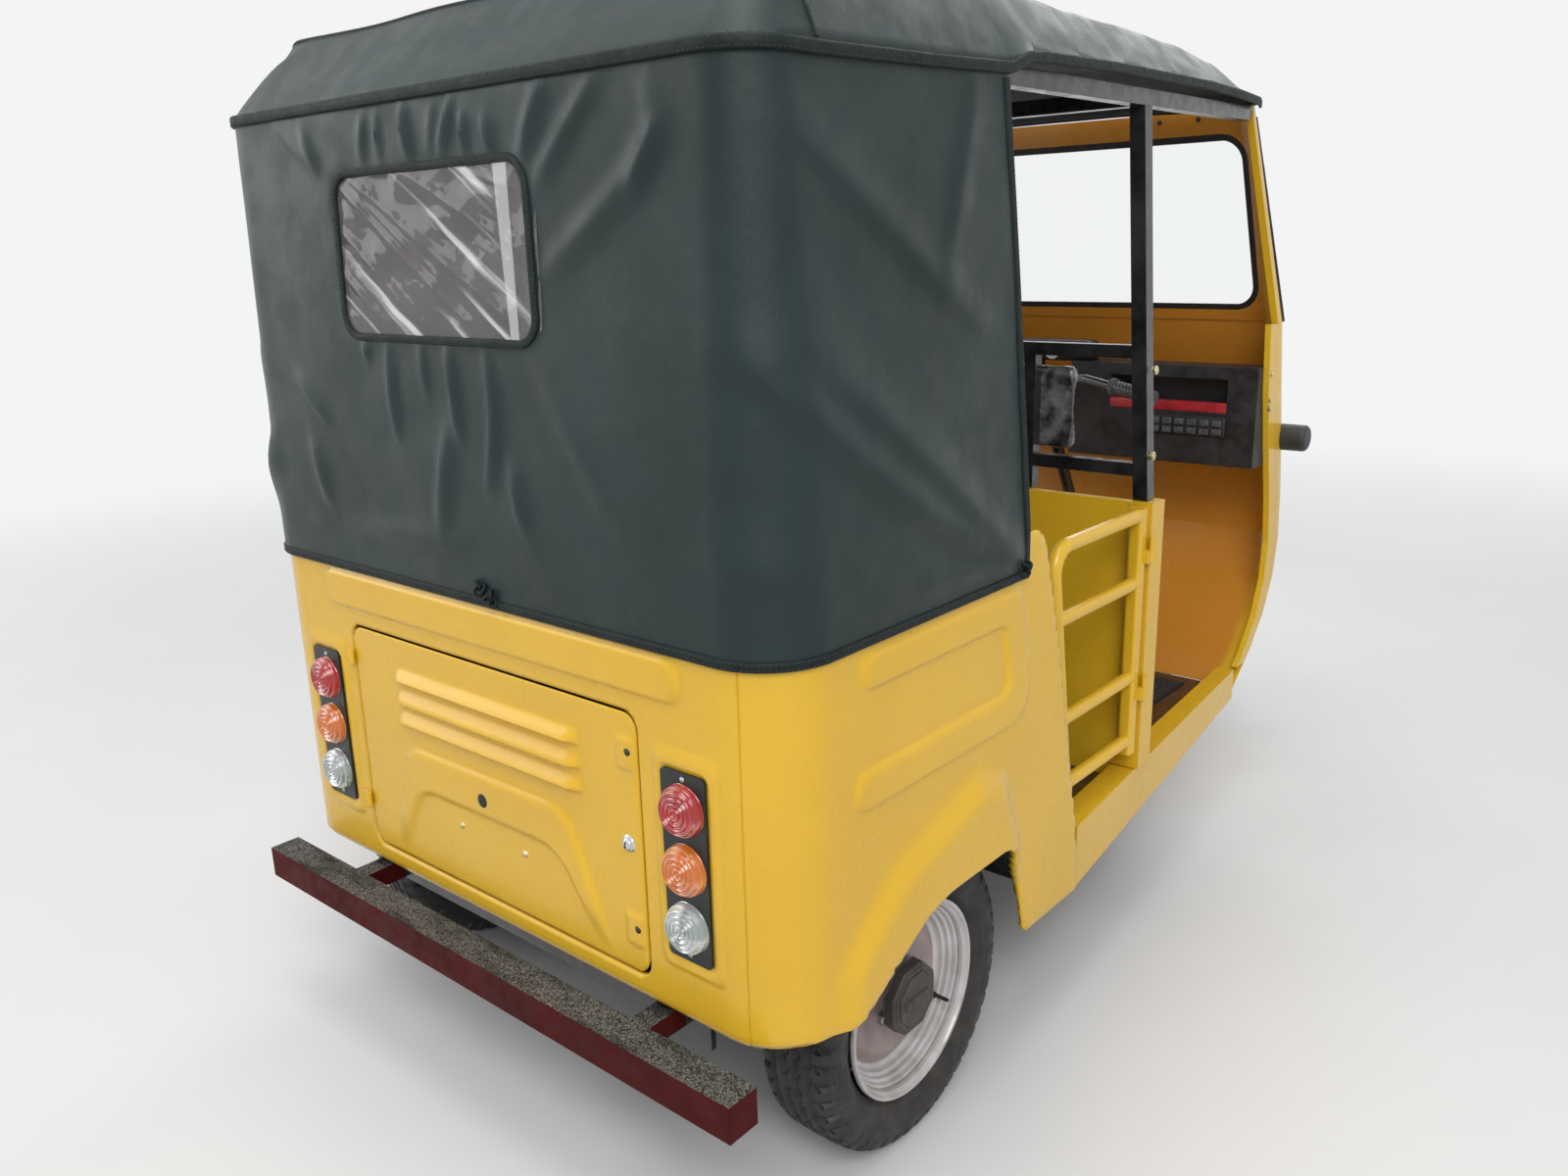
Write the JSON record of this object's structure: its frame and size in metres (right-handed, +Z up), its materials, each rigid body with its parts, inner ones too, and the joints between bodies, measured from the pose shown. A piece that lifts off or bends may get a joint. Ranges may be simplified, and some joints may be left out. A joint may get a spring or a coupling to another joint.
{
  "type": "auto rickshaw",
  "caption": "Three-wheeled passenger auto rickshaw with pressed steel body, canvas hood, side gates, rear hatch and handlebar steering.",
  "frame": {"origin": "on the ground under the middle of the vehicle's outline", "axes": "+Z up, +Y towards the rear bumper, +X towards the vehicle's left side"},
  "size_m": [1.29, 2.72, 1.815],
  "materials": {
    "yellow_paint": "glossy mustard yellow paint on pressed steel",
    "black_steel": "black enamel on steel tube",
    "bumper_paint": "dark maroon black paint, gritty grey on top",
    "silver_steel": "silver white painted steel rim",
    "tyre_rubber": "black tyre rubber",
    "dark_plastic": "black moulded plastic",
    "red_lens": "ringed red lens",
    "amber_lens": "ringed amber lens",
    "clear_lens": "ringed clear lens",
    "lock_chrome": "plated key lock",
    "floor_mat": "ribbed black rubber mats",
    "seal_rubber": "black rubber seal",
    "screen_glass": "clear windscreen glass",
    "canvas": "dark green-black coated canvas with soft sheen",
    "clear_film": "creased clear plastic film",
    "seat_vinyl": "black seat vinyl",
    "bench_wood": "plywood seat board",
    "battery_case": "battery pack case",
    "motor_casting": "motor casting"
  },
  "bodies": {
    "body": {"rear_body": "yellow_paint", "rear_door_hinges": "yellow_paint", "sills": "yellow_paint", "partition_panel": "yellow_paint", "gate_posts": "yellow_paint", "front_cowl": "yellow_paint", "windscreen_frame": "yellow_paint", "front_pillars": "yellow_paint", "driver_seat_box": "yellow_paint", "bench_front": "yellow_paint", "chassis_frame": "black_steel", "b_posts": "black_steel", "partition_frame": "black_steel", "roof_frame": "black_steel", "rear_axle": "black_steel", "leaf_springs": "black_steel", "wheel_arches": "black_steel", "floor_pan": "black_steel", "rear_bumper": "bumper_paint", "dashboard": "dark_plastic", "tail_lamp_plates": "dark_plastic", "front_indicators": "dark_plastic", "tail_lamps_red": "red_lens", "tail_lamps_amber": "amber_lens", "tail_lamps_clear": "clear_lens", "head_lamps": "clear_lens", "floor_mats": "floor_mat", "windscreen_seal": "seal_rubber", "windscreen_glass": "screen_glass", "canopy_curtain": "canvas", "canopy_roof": "canvas", "rear_window": "clear_film", "passenger_cushion": "seat_vinyl", "passenger_backrest": "seat_vinyl", "driver_seat_cushion": "seat_vinyl", "driver_backrest": "seat_vinyl", "bench_board": "bench_wood", "battery_box": "battery_case", "drive_motor": "motor_casting"},
    "rear_wheel_left": {"rear_rim_left": "silver_steel", "rear_tyre_left": "tyre_rubber", "rear_hub_cap_left": "dark_plastic"},
    "rear_wheel_right": {"rear_rim_right": "silver_steel", "rear_tyre_right": "tyre_rubber", "rear_hub_cap_right": "dark_plastic"},
    "front_wheel": {"front_rim": "silver_steel", "front_tyre": "tyre_rubber"},
    "steering": {"fork": "black_steel", "handlebar": "black_steel", "front_mudguard": "dark_plastic"},
    "gate_left": {"gate_left": "yellow_paint"},
    "gate_right": {"gate_right": "yellow_paint"},
    "rear_door": {"rear_door": "yellow_paint", "rear_door_lock": "lock_chrome"}
  },
  "joints": [
    {"name": "rear_wheel_left_spin", "type": "hinge", "parent": "body", "child": "rear_wheel_left", "pos_m": [0.53, 0.908, 0.25], "axis": [1, 0, 0], "continuous": true},
    {"name": "rear_wheel_right_spin", "type": "hinge", "parent": "body", "child": "rear_wheel_right", "pos_m": [-0.53, 0.908, 0.25], "axis": [1, 0, 0], "continuous": true},
    {"name": "steering_turn", "type": "hinge", "parent": "body", "child": "steering", "pos_m": [0, -1.01925, 0.208], "axis": [0, 0.5, 0.866], "range_deg": [-35, 35]},
    {"name": "front_wheel_spin", "type": "hinge", "parent": "steering", "child": "front_wheel", "pos_m": [0, -1.092, 0.25], "axis": [1, 0, 0], "continuous": true},
    {"name": "gate_left_swing", "type": "hinge", "parent": "body", "child": "gate_left", "pos_m": [0.612, 0.142, 0.6], "axis": [0, 0, -1], "range_deg": [0, 95]},
    {"name": "gate_right_swing", "type": "hinge", "parent": "body", "child": "gate_right", "pos_m": [-0.612, 0.142, 0.6], "axis": [0, 0, 1], "range_deg": [0, 95]},
    {"name": "rear_door_swing", "type": "hinge", "parent": "body", "child": "rear_door", "pos_m": [0.3625, 1.276, 0.593], "axis": [0, 0, -1], "range_deg": [0, 110]}
  ]
}
